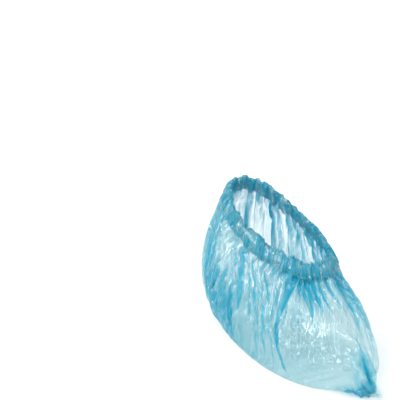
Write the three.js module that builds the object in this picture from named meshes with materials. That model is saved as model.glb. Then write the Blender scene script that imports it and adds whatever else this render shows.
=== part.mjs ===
// Disposable waterproof shoe cover, in the shape that it takes over a shoe.
//
// Units are millimetres, +Z is up, the toe points to -Y and the origin is on the inside of
// the sole film, under the middle of the shoe. The cover is a bag of thin film, welded shut
// at the toe and at the heel, whose open top is hemmed round a band of elastic. The elastic
// draws the hem in, so the film hangs from it in gathers and long folds.
//
// The film is a loft through a few closed rings, from the hem line down to the edge of the
// sole. A place on it is given by a bearing (0 at the toe seam, 90 degrees on the right,
// 180 at the heel seam) and a level, which counts the rings from 0 at the hem line.

import * as THREE from "three";

// ---------------------------------------------------------------- driving dimensions

const WALL = 1.4; // stands in for film of about 0.05 mm
const GAP = 0.4; // between pieces that are welded on the real cover
const COLUMNS = 144; // round the bag
const ROWS = 10; // from the hem line down to the edge of the sole, two to each level

// The rings, from the top down. toe and heel are the y of the ring's two ends, widest is
// the y of its widest place, left and right are its half widths there, and the three
// heights are those of its toe, sides and heel. toeRound and heelRound are the exponents of
// its outline: 2 is an ellipse and more is squarer. toePeak and heelPeak are how far the
// film runs out beyond the ring, to a point, at the two seams.
const RINGS = [
  { name: "hem_line", toe: -61, heel: 122, widest: 38, left: 34, right: 40,
    toeHeight: 92, sideHeight: 102, heelHeight: 126,
    toeRound: 2.2, heelRound: 2.2, toePeak: 0, heelPeak: 0 },
  { name: "neck", toe: -72, heel: 130, widest: 28, left: 42, right: 44,
    toeHeight: 81, sideHeight: 87, heelHeight: 112,
    toeRound: 2.2, heelRound: 2.2, toePeak: 0, heelPeak: 1 },
  { name: "shoulder", toe: -111, heel: 143, widest: 10, left: 51, right: 46,
    toeHeight: 63, sideHeight: 64, heelHeight: 90,
    toeRound: 2.3, heelRound: 2.2, toePeak: 1, heelPeak: 2 },
  { name: "girth", toe: -137, heel: 152, widest: -8, left: 61, right: 47,
    toeHeight: 36, sideHeight: 33, heelHeight: 50,
    toeRound: 2.4, heelRound: 2.2, toePeak: 8, heelPeak: 4 },
  { name: "turn", toe: -143, heel: 150, widest: -20, left: 62, right: 47,
    toeHeight: 10, sideHeight: 9, heelHeight: 12,
    toeRound: 2.4, heelRound: 2.1, toePeak: 20, heelPeak: 8 },
  { name: "sole_edge", toe: -132, heel: 132, widest: -22, left: 61, right: 46,
    toeHeight: 0, sideHeight: 0, heelHeight: 0,
    toeRound: 2.3, heelRound: 2.0, toePeak: 20, heelPeak: 10 },
];
const SOLE_LEVEL = RINGS.length - 1;
const PEAK_SPREAD = 24; // degrees of bearing on each side of a seam that its peak takes up
const PEAK_SHARPNESS = 1.6;
const PEAK_LEVEL = 2.5; // the level below which the peaks show

// The gathers that the elastic makes at the hem line, and how far down they reach.
const GATHERS = { count: 48, depth: 1.5, fadeLevels: 0.9 };
const MEAN_CREST = 2 / Math.PI; // taken off the crests, so that gathers leave the bag's size alone

// The long folds. from and to are the levels that a fold runs between, top and bottom are its
// bearings there, halfWidth is in degrees, and depth is positive for a ridge and negative
// for a furrow.
const FOLD_RISE = 0.15; // share of its length over which a fold swells from its top end
const FOLDS = [
  { from: 0.1, to: 2.9, top: 328, bottom: 294, halfWidth: 9, depth: 5.0 },
  { from: 0.4, to: 2.8, top: 313, bottom: 286, halfWidth: 8, depth: -4.0 },
  { from: 2.3, to: 4.4, top: 295, bottom: 301, halfWidth: 7, depth: 4.0 },
  { from: 1.2, to: 3.6, top: 322, bottom: 310, halfWidth: 7, depth: -2.4 },
  { from: 0.2, to: 4.3, top: 293, bottom: 279, halfWidth: 6, depth: 3.4 },
  { from: 0.2, to: 4.2, top: 280, bottom: 271, halfWidth: 5, depth: -3.2 },
  { from: 0.2, to: 4.2, top: 267, bottom: 264, halfWidth: 5, depth: 3.2 },
  { from: 0.3, to: 4.6, top: 255, bottom: 257, halfWidth: 5, depth: -3.6 },
  { from: 0.2, to: 4.4, top: 242, bottom: 247, halfWidth: 5, depth: 3.2 },
  { from: 0.2, to: 4.2, top: 227, bottom: 236, halfWidth: 5, depth: -3.0 },
  { from: 0.2, to: 4.2, top: 211, bottom: 222, halfWidth: 6, depth: 3.0 },
  { from: 0.2, to: 4.0, top: 195, bottom: 206, halfWidth: 6, depth: -2.6 },
  { from: 0.1, to: 1.9, top: 339, bottom: 337, halfWidth: 5, depth: -2.6 },
  { from: 0.1, to: 1.8, top: 350, bottom: 348, halfWidth: 5, depth: 2.4 },
  { from: 0.1, to: 1.7, top: 2, bottom: 0, halfWidth: 5, depth: -2.6 },
  { from: 0.1, to: 1.8, top: 14, bottom: 9, halfWidth: 5, depth: 2.4 },
  { from: 0.1, to: 3.2, top: 28, bottom: 5, halfWidth: 8, depth: -3.6 },
  { from: 0.2, to: 3.6, top: 40, bottom: 24, halfWidth: 8, depth: 4.2 },
  { from: 0.2, to: 4.2, top: 51, bottom: 42, halfWidth: 5, depth: -3.2 },
  { from: 0.2, to: 4.2, top: 66, bottom: 60, halfWidth: 5, depth: 3.0 },
  { from: 0.2, to: 4.2, top: 82, bottom: 80, halfWidth: 5, depth: -3.0 },
  { from: 0.2, to: 4.2, top: 98, bottom: 98, halfWidth: 5, depth: 3.0 },
  { from: 0.2, to: 4.2, top: 114, bottom: 115, halfWidth: 5, depth: -3.0 },
  { from: 0.2, to: 4.2, top: 131, bottom: 128, halfWidth: 5, depth: 3.2 },
  { from: 0.2, to: 4.2, top: 148, bottom: 143, halfWidth: 6, depth: -3.0 },
  { from: 0.2, to: 4.0, top: 164, bottom: 157, halfWidth: 6, depth: 2.6 },
];

// The sole is flat inside the loft's last ring: a ring of this share of its size and a point
// in the middle keep the triangles short.
const SOLE_INNER_RING = 0.55;
const SOLE_SPINE = 0.9; // how far along the sole its middle line runs, as a share

// The hem: film folded down over the elastic on both sides of the bag's top edge. Heights
// are measured from that edge, along the film. The channel for the elastic is twice
// channel wide at bottom and shoulder and closes at ceiling. The top edge waves by lipWave
// and is lipShare as thick as the hem below it.
const HEM = {
  bottom: -3.2, shoulder: 6.6, ceiling: 8.4, top: 10.2,
  channel: 3.2, skin: 1.1, ruffle: 1.5, lipWave: 0.75, lipShare: 0.5,
};
const HEM_RUN = 0.3; // levels of film below the edge that give the hem its slope
const ELASTIC = { thickness: 1.8, low: 2.2, high: 7.2, columns: 72 };

// The welded flanges at the two ends of the bag, from the top down: the level, how far the
// flange stands out from the film there, and how far its free edge curls to the right. lift
// is the height of the free edge's lowest point above the floor.
const FLANGE_THICKNESS = 2.4;
const FLANGE_CLEARANCE = 1; // above the inside of the sole, wherever the flange isn't at the floor
const TOE_FLANGE = {
  seam: 0,
  lift: 5,
  widths: [
    { level: 2.5, reach: 2.0, curl: 0 },
    { level: 3.0, reach: 6.0, curl: 1 },
    { level: 3.5, reach: 7.0, curl: 2 },
    { level: 4.0, reach: 7.0, curl: 3 },
    { level: 4.5, reach: 10.0, curl: 5 },
    { level: 5.0, reach: 17.0, curl: 8 },
  ],
};
const HEEL_FLANGE = {
  seam: 180,
  lift: 1,
  widths: [
    { level: 0.5, reach: 2.5, curl: 0 },
    { level: 1.0, reach: 3.0, curl: 0 },
    { level: 2.0, reach: 3.5, curl: -1 },
    { level: 3.0, reach: 4.0, curl: -1 },
    { level: 4.0, reach: 4.5, curl: -2 },
    { level: 4.5, reach: 6.0, curl: -2 },
    { level: 5.0, reach: 9.0, curl: -3 },
  ],
};

// ---------------------------------------------------------------- the film's surface

const radians = THREE.MathUtils.degToRad;

// The signed angle from one bearing to another, from -180 to 180 degrees.
function turn(from, to) {
  return ((((to - from) % 360) + 540) % 360) - 180;
}

// How far a seam's peak runs out at a bearing, as a share of its full reach.
function peakShare(bearing, seam) {
  const away = Math.abs(turn(seam, bearing)) / PEAK_SPREAD;
  return away < 1 ? (1 - away) ** PEAK_SHARPNESS : 0;
}

function ringPoint(ring, bearing) {
  const c = Math.cos(radians(bearing));
  const s = Math.sin(radians(bearing));
  const front = c > 0;
  const power = 2 / (front ? ring.toeRound : ring.heelRound);
  const half = s > 0 ? ring.right : ring.left;
  const end = front ? ring.toe : ring.heel;
  const peaks = ring.heelPeak * peakShare(bearing, 180) - ring.toePeak * peakShare(bearing, 0);
  // The height passes through the toe's, the sides' and the heel's at 0, 90 and 180 degrees.
  const tilt = (ring.toeHeight - ring.heelHeight) / 2;
  const ends = (ring.toeHeight + ring.heelHeight) / 2;
  return new THREE.Vector3(
    Math.sign(s) * half * Math.abs(s) ** power,
    ring.widest + (end - ring.widest) * Math.abs(c) ** power + peaks,
    ring.sideHeight * s * s + ends * c * c + tilt * c,
  );
}

// A smooth curve through the rings at one bearing.
function loftPoint(bearing, level) {
  const below = Math.min(Math.floor(level), SOLE_LEVEL - 1);
  const t = level - below;
  const ring = (i) => ringPoint(RINGS[THREE.MathUtils.clamp(i, 0, SOLE_LEVEL)], bearing);
  const [before, start, end, after] = [ring(below - 1), ring(below), ring(below + 1), ring(below + 2)];
  const along = (axis) => {
    const m0 = (end[axis] - before[axis]) / 2;
    const m1 = (after[axis] - start[axis]) / 2;
    return (
      (2 * t ** 3 - 3 * t ** 2 + 1) * start[axis] + (t ** 3 - 2 * t ** 2 + t) * m0 +
      (3 * t ** 2 - 2 * t ** 3) * end[axis] + (t ** 3 - t ** 2) * m1
    );
  };
  return new THREE.Vector3(along("x"), along("y"), along("z"));
}

// The outward direction of the lofted film.
function loftNormal(bearing, level) {
  const step = 0.02;
  const around = loftPoint(bearing + 1, level).sub(loftPoint(bearing - 1, level));
  const low = Math.min(level + step, SOLE_LEVEL);
  const high = Math.max(level - step, 0);
  const up = loftPoint(bearing, high).sub(loftPoint(bearing, low));
  return around.cross(up).normalize();
}

// The puffed gathers under the hem: round crests with sharp furrows between them.
function gatherHeight(bearing, level) {
  const phase = (bearing / 360) * GATHERS.count;
  const crest = Math.abs(Math.sin(Math.PI * phase));
  return GATHERS.depth * (crest - MEAN_CREST) * Math.exp(-level / GATHERS.fadeLevels);
}

function foldHeight(bearing, level) {
  let height = 0;
  for (const fold of FOLDS) {
    if (level <= fold.from || level >= fold.to) continue;
    const share = (level - fold.from) / (fold.to - fold.from);
    const centre = fold.top + turn(fold.top, fold.bottom) * share;
    const away = Math.abs(turn(centre, bearing)) / fold.halfWidth;
    const swell = Math.min(1, share / FOLD_RISE) * Math.sqrt(Math.cos((Math.PI / 2) * share));
    if (away < 1) height += fold.depth * swell * (1 - away);
  }
  return height;
}

// The film with its gathers and folds. The folds die out at the peaks, which are tight.
function skinPoint(bearing, level) {
  const peak = level > PEAK_LEVEL ? Math.max(peakShare(bearing, 0), peakShare(bearing, 180)) : 0;
  const relief = gatherHeight(bearing, level) + foldHeight(bearing, level) * (1 - peak);
  return loftPoint(bearing, level).addScaledVector(loftNormal(bearing, level), relief);
}

// ---------------------------------------------------------------- geometry helpers

// A closed surface from a grid of points: rows of equal length, each a closed loop, with
// the first row joined to the last when it is a tube, or capped by a single point at each
// end when it isn't.
function loopGrid(rows, { tube = false, firstCap = null, lastCap = null } = {}) {
  const columns = rows[0].length;
  const points = rows.flat();
  const faces = [];
  const at = (row, column) => (row % rows.length) * columns + (column % columns);
  const rowPairs = tube ? rows.length : rows.length - 1;
  for (let row = 0; row < rowPairs; row++) {
    for (let column = 0; column < columns; column++) {
      const [a, b] = [at(row, column), at(row, column + 1)];
      const [c, d] = [at(row + 1, column + 1), at(row + 1, column)];
      // The shorter diagonal follows a slanted fold, and does so alike on both sides of a wall.
      const across = points[a].distanceTo(points[c]) < points[b].distanceTo(points[d]);
      faces.push(...(across ? [a, d, c, a, c, b] : [a, d, b, b, d, c]));
    }
  }
  for (const [cap, row, reversed] of [[firstCap, 0, true], [lastCap, rows.length - 1, false]]) {
    if (!cap) continue;
    const centre = points.push(cap) - 1;
    for (let column = 0; column < columns; column++) {
      const [a, b] = [at(row, column), at(row, column + 1)];
      faces.push(...(reversed ? [a, b, centre] : [b, a, centre]));
    }
  }
  const geometry = new THREE.BufferGeometry();
  const coordinates = points.flatMap((point) => point.toArray());
  geometry.setAttribute("position", new THREE.Float32BufferAttribute(coordinates, 3));
  geometry.setIndex(faces);
  geometry.computeVertexNormals();
  return geometry;
}

// A column of a table whose rows are in order of level, at a level between two of them.
function tableValue(table, column, level) {
  const next = Math.max(1, table.findIndex((row) => row.level >= level));
  const [low, high] = [table[next - 1], table[next]];
  const share = (level - low.level) / (high.level - low.level);
  return low[column] + (high[column] - low[column]) * share;
}

function bearings(count) {
  return Array.from({ length: count }, (_, i) => (360 * i) / count);
}

// ---------------------------------------------------------------- the pieces

// One wall of the film from the hem line to the edge of the sole, and the flat sole inside
// that edge. depth is how far the wall lies inside the outer skin.
function filmWall(depth) {
  const rows = [];
  for (let row = 0; row < ROWS; row++) {
    const level = (SOLE_LEVEL * row) / ROWS;
    rows.push(bearings(COLUMNS).map((bearing) =>
      skinPoint(bearing, level).addScaledVector(loftNormal(bearing, level), -depth)));
  }
  const soleHeight = depth - WALL;
  const edge = bearings(COLUMNS).map((bearing) => {
    const point = loftPoint(bearing, SOLE_LEVEL);
    const inward = new THREE.Vector3(0, point.y * SOLE_SPINE, 0).sub(point).normalize();
    return point.addScaledVector(inward, depth).setZ(soleHeight);
  });
  const inside = edge.map((point) => point.clone().multiplyScalar(SOLE_INNER_RING).setZ(soleHeight));
  rows.push(edge, inside);
  return { rows, centre: new THREE.Vector3(0, 0, soleHeight) };
}

function filmBody() {
  const outer = filmWall(0);
  const inner = filmWall(WALL);
  const rows = [...inner.rows.toReversed(), ...outer.rows];
  return loopGrid(rows, { firstCap: inner.centre, lastCap: outer.centre });
}

// The frame of the hem at a bearing: the middle of the bag's top edge, the way out of the
// bag and the way up along the film.
function hemFrame(bearing) {
  const edge = loftPoint(bearing, 0);
  const up = edge.clone().sub(loftPoint(bearing, HEM_RUN)).normalize();
  const out = loftNormal(bearing, 0);
  return { origin: edge.addScaledVector(out, -WALL / 2), up, out };
}

// Carries an outline round the hem: [out, up] pairs at each bearing, going counterclockwise.
function sweepRoundHem(columns, outlineAt) {
  const columnsOfPoints = bearings(columns).map((bearing) => {
    const frame = hemFrame(bearing);
    return outlineAt(bearing).toReversed().map(([out, up]) =>
      frame.origin.clone().addScaledVector(frame.out, out).addScaledVector(frame.up, up));
  });
  const rows = columnsOfPoints[0].map((_, i) => columnsOfPoints.map((points) => points[i]));
  return loopGrid(rows, { tube: true });
}

function hemCasing() {
  return sweepRoundHem(COLUMNS, (bearing) => {
    const phase = Math.PI * (bearing / 360) * GATHERS.count;
    const puff = HEM.ruffle * Math.abs(Math.sin(phase));
    const inner = HEM.channel;
    const outer = HEM.channel + HEM.skin + puff;
    const lip = HEM.lipShare * outer;
    const top = HEM.top + HEM.lipWave * Math.sin(2 * phase);
    return [
      [-outer, HEM.bottom], [-inner, HEM.bottom], [-inner, HEM.shoulder],
      [0, HEM.ceiling], [inner, HEM.shoulder], [inner, HEM.bottom],
      [outer, HEM.bottom], [outer, HEM.shoulder], [lip, top],
      [-lip, top], [-outer, HEM.shoulder],
    ];
  });
}

function elasticBand() {
  const half = ELASTIC.thickness / 2;
  return sweepRoundHem(ELASTIC.columns, () => [
    [-half, ELASTIC.low], [half, ELASTIC.low], [half, ELASTIC.high], [-half, ELASTIC.high],
  ]);
}

// A welded flange: a thin plate whose inner edge follows the film's own rows down the seam,
// a gap away from them, and whose outer edge is free.
function seamFlange({ seam, lift, widths }) {
  const rows = Array.from({ length: ROWS + 1 }, (_, row) => (SOLE_LEVEL * row) / ROWS);
  const half = FLANGE_THICKNESS / 2;
  const sections = rows.filter((level) => level >= widths[0].level).map((level) => {
    const atFloor = level === SOLE_LEVEL;
    const out = loftNormal(seam, level);
    if (atFloor) out.set(0, Math.sign(out.y), 0);
    const inner = skinPoint(seam, level).setX(0).addScaledVector(out, GAP);
    const outer = inner.clone().addScaledVector(out, tableValue(widths, "reach", level));
    outer.x = tableValue(widths, "curl", level);
    inner.z = atFloor ? -WALL : Math.max(inner.z, FLANGE_CLEARANCE);
    outer.z = Math.max(outer.z, atFloor ? lift - WALL : lift + FLANGE_CLEARANCE);
    const corners = [[inner, -half], [inner, half], [outer, half], [outer, -half]];
    return corners.map(([point, side]) => point.clone().setX(point.x + side));
  });
  // The way out of the bag turns round from one end to the other, and so do the sections.
  if (seam === 0) sections.forEach((section) => section.reverse());
  const middle = (section) =>
    section.reduce((sum, point) => sum.add(point), new THREE.Vector3()).divideScalar(section.length);
  return loopGrid(sections, { firstCap: middle(sections[0]), lastCap: middle(sections.at(-1)) });
}

// ---------------------------------------------------------------- the cover

const FILM_FINISH = { color: 0x6fbfd8, roughness: 0.25, metalness: 0, transparent: true, opacity: 0.55 };
const HEM_FINISH = { color: 0x2e9fc6, roughness: 0.3, metalness: 0, transparent: true, opacity: 0.8 };
const SEAM_FINISH = { color: 0x8fccdd, roughness: 0.35, metalness: 0, transparent: true, opacity: 0.6 };
const ELASTIC_FINISH = { color: 0xd9eef3, roughness: 0.8, metalness: 0 };

const cover = new THREE.Group();

function addPiece(name, geometry, finish) {
  const mesh = new THREE.Mesh(geometry, new THREE.MeshStandardMaterial(finish));
  mesh.name = name;
  cover.add(mesh);
}

addPiece("film_body", filmBody(), FILM_FINISH);
addPiece("hem_casing", hemCasing(), HEM_FINISH);
addPiece("elastic_band", elasticBand(), ELASTIC_FINISH);
addPiece("toe_seam", seamFlange(TOE_FLANGE), SEAM_FINISH);
addPiece("heel_seam", seamFlange(HEEL_FLANGE), SEAM_FINISH);

export default cover;
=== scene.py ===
"""Disposable waterproof shoe cover, in the shape that it takes over a shoe.

The cover is a bag of thin blue film, welded shut at the toe and at the heel. Its open top is
hemmed round a band of elastic, which draws it in, so the film hangs from the hem in gathers
and long folds. Lengths are in millimetres until a mesh is made, which is in metres.

A place on the film is given by a bearing (0 at the toe seam, 90 degrees on the right, 180 at
the heel seam) and a level, which counts the rings of its loft from 0 at the hem line.
"""

import math

import bpy
import numpy as np
from mathutils import Matrix, Vector


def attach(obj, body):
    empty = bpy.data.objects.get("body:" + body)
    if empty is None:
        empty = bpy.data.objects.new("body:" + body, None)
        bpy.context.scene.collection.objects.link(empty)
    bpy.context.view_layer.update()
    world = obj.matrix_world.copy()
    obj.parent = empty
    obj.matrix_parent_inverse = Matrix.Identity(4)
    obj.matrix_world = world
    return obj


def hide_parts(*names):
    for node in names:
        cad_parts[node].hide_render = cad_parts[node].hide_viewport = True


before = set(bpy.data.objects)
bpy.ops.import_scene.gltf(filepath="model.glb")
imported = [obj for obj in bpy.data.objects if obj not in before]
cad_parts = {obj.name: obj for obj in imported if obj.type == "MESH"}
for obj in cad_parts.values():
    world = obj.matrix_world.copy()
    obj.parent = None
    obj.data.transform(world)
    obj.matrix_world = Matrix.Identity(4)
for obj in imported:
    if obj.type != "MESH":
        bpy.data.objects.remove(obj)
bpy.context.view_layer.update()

MM = 0.001
SEED = 7
# Where each thing's random numbers start. A table takes one more for each of its rows.
DRAWS = {
    "wrinkles": 0, "crushes": 20, "crinkles": 30, "sole_lift": 40, "sole_creases": 41,
    "crumples": 43, "streaks": 50, "tucks": 51, "tuck_shade": 52, "mottles": 53,
    "frill": 60, "hem_wave": 61, "pleats": 70, "hem_crumples": 80, "ruffles": 90,
}

# ---------------------------------------------------------------- the film's loft

WALL = 1.4  # the wall of the film's solid, whose outer face the film follows
FILM = 0.3  # the film's own thickness
FLOOR = -WALL  # the height that the cover stands at

# From the top down: the y of each ring's two ends and of its widest place, its half widths
# there, the heights of its toe, sides and heel, the exponents of its outline at the toe and
# the heel, and how far the film runs out beyond it, to a point, at the two seams.
RING_COLUMNS = (
    "toe", "heel", "widest", "left", "right", "toe_height", "side_height", "heel_height",
    "toe_round", "heel_round", "toe_peak", "heel_peak",
)
RINGS = {
    "hem_line": (-61, 122, 38, 34, 40, 92, 102, 126, 2.2, 2.2, 0, 0),
    "neck": (-72, 130, 28, 42, 44, 81, 87, 112, 2.2, 2.2, 0, 1),
    "shoulder": (-111, 143, 10, 51, 46, 63, 64, 90, 2.3, 2.2, 1, 2),
    "girth": (-137, 152, -8, 61, 47, 36, 33, 50, 2.4, 2.2, 8, 4),
    "turn": (-143, 150, -20, 62, 47, 10, 9, 12, 2.4, 2.1, 20, 8),
    "sole_edge": (-132, 132, -22, 61, 46, 0, 0, 0, 2.3, 2.0, 20, 10),
}
SOLE_LEVEL = len(RINGS) - 1
FLOOR_LEVEL = 4.5  # where the film starts to come down to the floor
CALM_BELT = 0.3  # the levels above the edge of the sole that crinkles fade out over

# The points at the seams: how far round they start, in degrees, the exponent that sharpens
# them, and the level from which on down folds keep off them.
PEAK_SPREAD = 24
PEAK_SHARPNESS = 1.6
PEAK_LEVEL = 2.5

# The long folds: the levels that each runs between, its bearings at the top and the bottom,
# half its width in degrees, and its height, which is negative for a furrow.
FOLDS = (
    (0.1, 2.9, 328, 294, 9, 5.0),
    (0.4, 2.8, 313, 286, 8, -4.0),
    (2.3, 4.4, 295, 301, 7, 4.0),
    (1.2, 3.6, 322, 310, 7, -2.4),
    (0.2, 4.3, 293, 279, 6, 3.4),
    (0.2, 4.2, 280, 271, 5, -3.2),
    (0.2, 4.2, 267, 264, 5, 3.2),
    (0.3, 4.6, 255, 257, 5, -3.6),
    (0.2, 4.4, 242, 247, 5, 3.2),
    (0.2, 4.2, 227, 236, 5, -3.0),
    (0.2, 4.2, 211, 222, 6, 3.0),
    (0.2, 4.0, 195, 206, 6, -2.6),
    (0.1, 1.9, 339, 337, 5, -2.6),
    (0.1, 1.8, 350, 348, 5, 2.4),
    (0.1, 1.7, 2, 0, 5, -2.6),
    (0.1, 1.8, 14, 9, 5, 2.4),
    (0.1, 3.2, 28, 5, 8, -3.6),
    (0.3, 3.6, 40, 24, 8, 3.4),
    (0.2, 4.2, 51, 42, 5, -3.2),
    (0.2, 4.2, 66, 60, 5, 3.0),
    (0.2, 4.2, 82, 80, 5, -3.0),
    (0.2, 4.2, 98, 98, 5, 3.0),
    (0.2, 4.2, 114, 115, 5, -3.0),
    (0.2, 4.2, 131, 128, 5, 3.2),
    (0.2, 4.2, 148, 143, 6, -3.0),
    (0.2, 4.0, 164, 157, 6, 2.6),
)
FOLD_RISE = 0.15  # the share of its length that a fold takes to reach its full height
SLOPE_STEP = 0.02  # in levels, for the loft's slope


def turn(start, end):
    """The signed angle from one bearing to another, from -180 to 180 degrees."""
    return (end - start + 180) % 360 - 180


def smooth(low, high, value):
    """0 below low, 1 above high, and an even curve between them."""
    share = np.clip((value - low) / (high - low), 0, 1)
    return share * share * (3 - 2 * share)


def unit(vectors):
    """The same vectors, each made 1 long."""
    return vectors / np.maximum(np.linalg.norm(vectors, axis=-1, keepdims=True), 1e-9)


def dot(first, second):
    """The dot product of each vector with its partner."""
    return np.einsum("...i,...i->...", first, second)


def at_floor(level):
    """How much of the way each level is down to the floor, from 0 to 1 at the sole."""
    return np.clip((level - FLOOR_LEVEL) / (SOLE_LEVEL - FLOOR_LEVEL), 0, 1)


def above_sole(level):
    """1 on the wall of the bag, falling to 0 at the edge of the sole."""
    return smooth(0, CALM_BELT, SOLE_LEVEL - level)


def peak_share(bearing, seam):
    """How near each bearing is to the point at a seam, from 0 away from it to 1 on it."""
    away = np.abs(turn(seam, bearing)) / PEAK_SPREAD
    return np.clip(1 - away, 0, 1) ** PEAK_SHARPNESS


def ring_points(ring, bearing):
    """A ring's point at each bearing: a rounded outline, higher or lower along its length."""
    r = dict(zip(RING_COLUMNS, ring))
    c, s = np.cos(np.radians(bearing)), np.sin(np.radians(bearing))
    power = 2 / np.where(c > 0, r["toe_round"], r["heel_round"])
    half = np.where(s > 0, r["right"], r["left"])
    end = np.where(c > 0, r["toe"], r["heel"])
    peaks = r["heel_peak"] * peak_share(bearing, 180) - r["toe_peak"] * peak_share(bearing, 0)
    tilt = (r["toe_height"] - r["heel_height"]) / 2
    ends = (r["toe_height"] + r["heel_height"]) / 2
    return np.stack(
        [
            np.sign(s) * half * np.abs(s) ** power,
            r["widest"] + (end - r["widest"]) * np.abs(c) ** power + peaks,
            r["side_height"] * s * s + ends * c * c + tilt * c,
        ],
        axis=-1,
    )


def loft_row(bearing, level):
    """The loft's points at one level: a smooth curve through the rings at each bearing."""
    rings = list(RINGS.values())
    below = min(int(level), SOLE_LEVEL - 1)
    t = level - below
    before, start, end, after = (
        ring_points(rings[min(max(i, 0), SOLE_LEVEL)], bearing)
        for i in range(below - 1, below + 3)
    )
    return (
        (2 * t**3 - 3 * t**2 + 1) * start
        + (t**3 - 2 * t**2 + t) * (end - before) / 2
        + (3 * t**2 - 2 * t**3) * end
        + (t**3 - t**2) * (after - start) / 2
    )


def loft(bearing, levels):
    """The loft's points and outward normals, a row for each level."""
    points = np.array([loft_row(bearing, level) for level in levels])
    around = np.array([loft_row(bearing + 1, v) - loft_row(bearing - 1, v) for v in levels])
    upper = np.array([loft_row(bearing, max(v - SLOPE_STEP, 0)) for v in levels])
    lower = np.array([loft_row(bearing, min(v + SLOPE_STEP, SOLE_LEVEL)) for v in levels])
    up = upper - lower
    return points, unit(np.cross(around, up))


def fold_height(bearing, level):
    """The long folds' height at each bearing and level."""
    height = np.zeros(np.broadcast(bearing, level).shape)
    for start, end, top, bottom, half_width, depth in FOLDS:
        share = (level - start) / (end - start)
        on = (share > 0) & (share < 1)
        share = np.clip(share, 0, 1)
        centre = top + turn(top, bottom) * share
        away = np.abs(turn(centre, bearing)) / half_width
        swell = np.minimum(1, share / FOLD_RISE) * np.sqrt(np.cos(np.pi / 2 * share))
        height += np.where(on, depth * swell * np.clip(1 - away, 0, 1), 0)
    return height


# ---------------------------------------------------------------- slack and wrinkles

# Wrinkles that follow the folds, widest first: how many go round the bag, how many go down
# it for each level, their height, and the level that they fade out by.
WRINKLES = (
    (34, 0.18, 3.6, 5.8),
    (60, 0.20, 3.4, 5.4),
    (104, 0.16, 3.2, 4.6),
    (170, 0.20, 2.2, 2.2),
)
WRINKLE_FADE = 0.2  # the share of that level that they start to fade at

# Other relief, the first three numbers of the same kind: film crushed at the two ends, sharper
# crumples in the same places, and shallow crinkles everywhere, where hands have creased it.
CRUSHES = ((70, 2.6, 3.4), (130, 5.0, 2.2))
CRUMPLES = ((100, 4.0, 2.2), (190, 8.0, 1.3))
CRINKLES = ((60, 2.2, 0.9), (120, 4.4, 0.5))
CRUMPLED = (0.06, 0.94)  # the crumples' strength everywhere, and what crushing adds to it

# The crushed pockets beyond the shoe's toe and behind its heel: the bearing of the middle, the
# degrees away from it and the levels that the crushing changes over, and its strength.
POCKETS = {
    "toe": (2, (3, 13), (2.6, 3.4), 1.0),
    "heel": (184, (6, 22), (1.4, 2.6), 0.8),
}
POCKET_END = (4.8, 5.0)

# Spare film, where 1 is what there is at the hem: what is left low down, how much more there
# is at the hem, and the level that the fall ends at.
CAP_SLACK = (0.07, 0.93, 2.0)  # over the shoe's toe
SIDE_SLACK = (0.34, 0.66, 2.4)
LOW_LOSS = {"share": 0.2, "levels": (3.4, 4.9)}  # at the sides, near the sole
FRONT = {"bearing": 352, "ends": (26, 60)}  # the front's middle, and where the sides begin
SLACK_PATCH = {"bearing": 244, "half_width": 18, "level": 3.0, "extra": 0.5}
# Two places where the film is pulled taut.
TAUT_SIDE = {"bearing": 282, "half_width": 20, "levels": (0.2, 0.9), "share": 0.6}
TAUT_TUCK = {"half_widths": 4, "levels": (1.2, 2.2)}  # on both sides of the deep tuck
TAUTNESS = 0.8  # how much of the spare film that takes away

# Where the film lies bunched, in many layers, and one strip of deeper blue low along the bottom at
# the toe: the bearing and level of the middle, half the spread each way, and how many layers that
# adds.
BUNCHES = (
    (337, 0.50, 20, 0.85, 16.0),
    (22, 0.75, 22, 1.10, 7.0),
    (300, 0.15, 34, 0.60, 7.0),
    (246, 3.00, 16, 0.95, 9.0),
    (229, 2.60, 13, 1.00, 8.0),
    (105, 1.20, 55, 1.60, 3.0),
    (274, 1.90, 26, 1.80, 1.6),
    (168, 0.90, 26, 1.20, 3.4),
    (262, 4.40, 28, 0.70, 3.0),
    (238, 4.30, 14, 0.80, 3.5),
    (259, 3.50, 5, 0.90, 5.0),
    (228, 1.00, 14, 0.80, 4.0),
    (354, 0.60, 9, 0.80, 8.0),
    # A strip of deeper blue low along the bottom at the toe.
    (352, 4.40, 9, 0.40, 12.0),
    (0, 3.70, 7, 0.90, 7.5),
    (200, 2.60, 12, 1.30, 3.0),
    (160, 2.40, 14, 1.20, 3.6),
    (118, 3.00, 15, 1.00, 3.6),
    (88, 0.60, 24, 0.70, 3.6),
    (140, 0.60, 24, 0.70, 3.6),
)
BUNCH_SHARPNESS = 1.5
# How much of its layers a bunch has at each place: an even share, changed by streaks that run
# down the film where it isn't crushed, and by mottles, a little everywhere and more where it
# is crushed, between a least and a most.
BUNCH_SHARE = 0.9
BUNCH_RANGE = (0.05, 1.9)
STREAKS = (150, 0.4)  # how many go round the bag, and how many go down it for each level
MOTTLES = (110, 4.2)
MOTTLING = (0.2, 1.3)

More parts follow.
